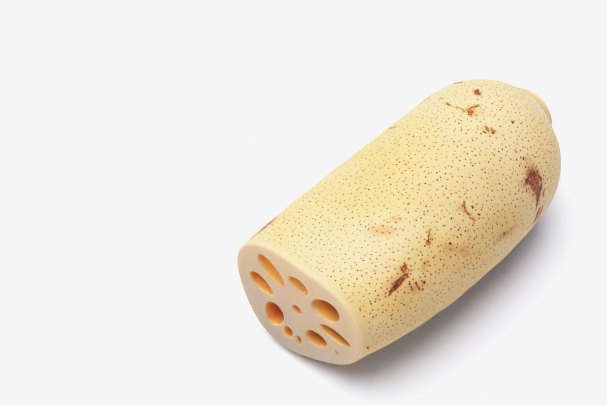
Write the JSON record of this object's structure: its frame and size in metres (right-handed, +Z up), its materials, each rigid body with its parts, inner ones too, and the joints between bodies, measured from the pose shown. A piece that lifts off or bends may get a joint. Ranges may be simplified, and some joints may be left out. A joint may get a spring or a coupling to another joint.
{
  "type": "lotus root",
  "caption": "Segment of fresh lotus root lying on its side: cream speckled skin, a flat cut face open to radial air channels, and a short cut neck at the far end.",
  "frame": {"origin": "on the resting surface, under the middle of the bounding box", "axes": "+Z up, +Y along the root from the cut face to the neck, +X to the right as seen when looking at the cut face"},
  "size_m": [0.0862, 0.1742, 0.0788],
  "materials": {
    "root": null
  },
  "bodies": {
    "root": {"lotus_root": "root"}
  },
  "joints": []
}
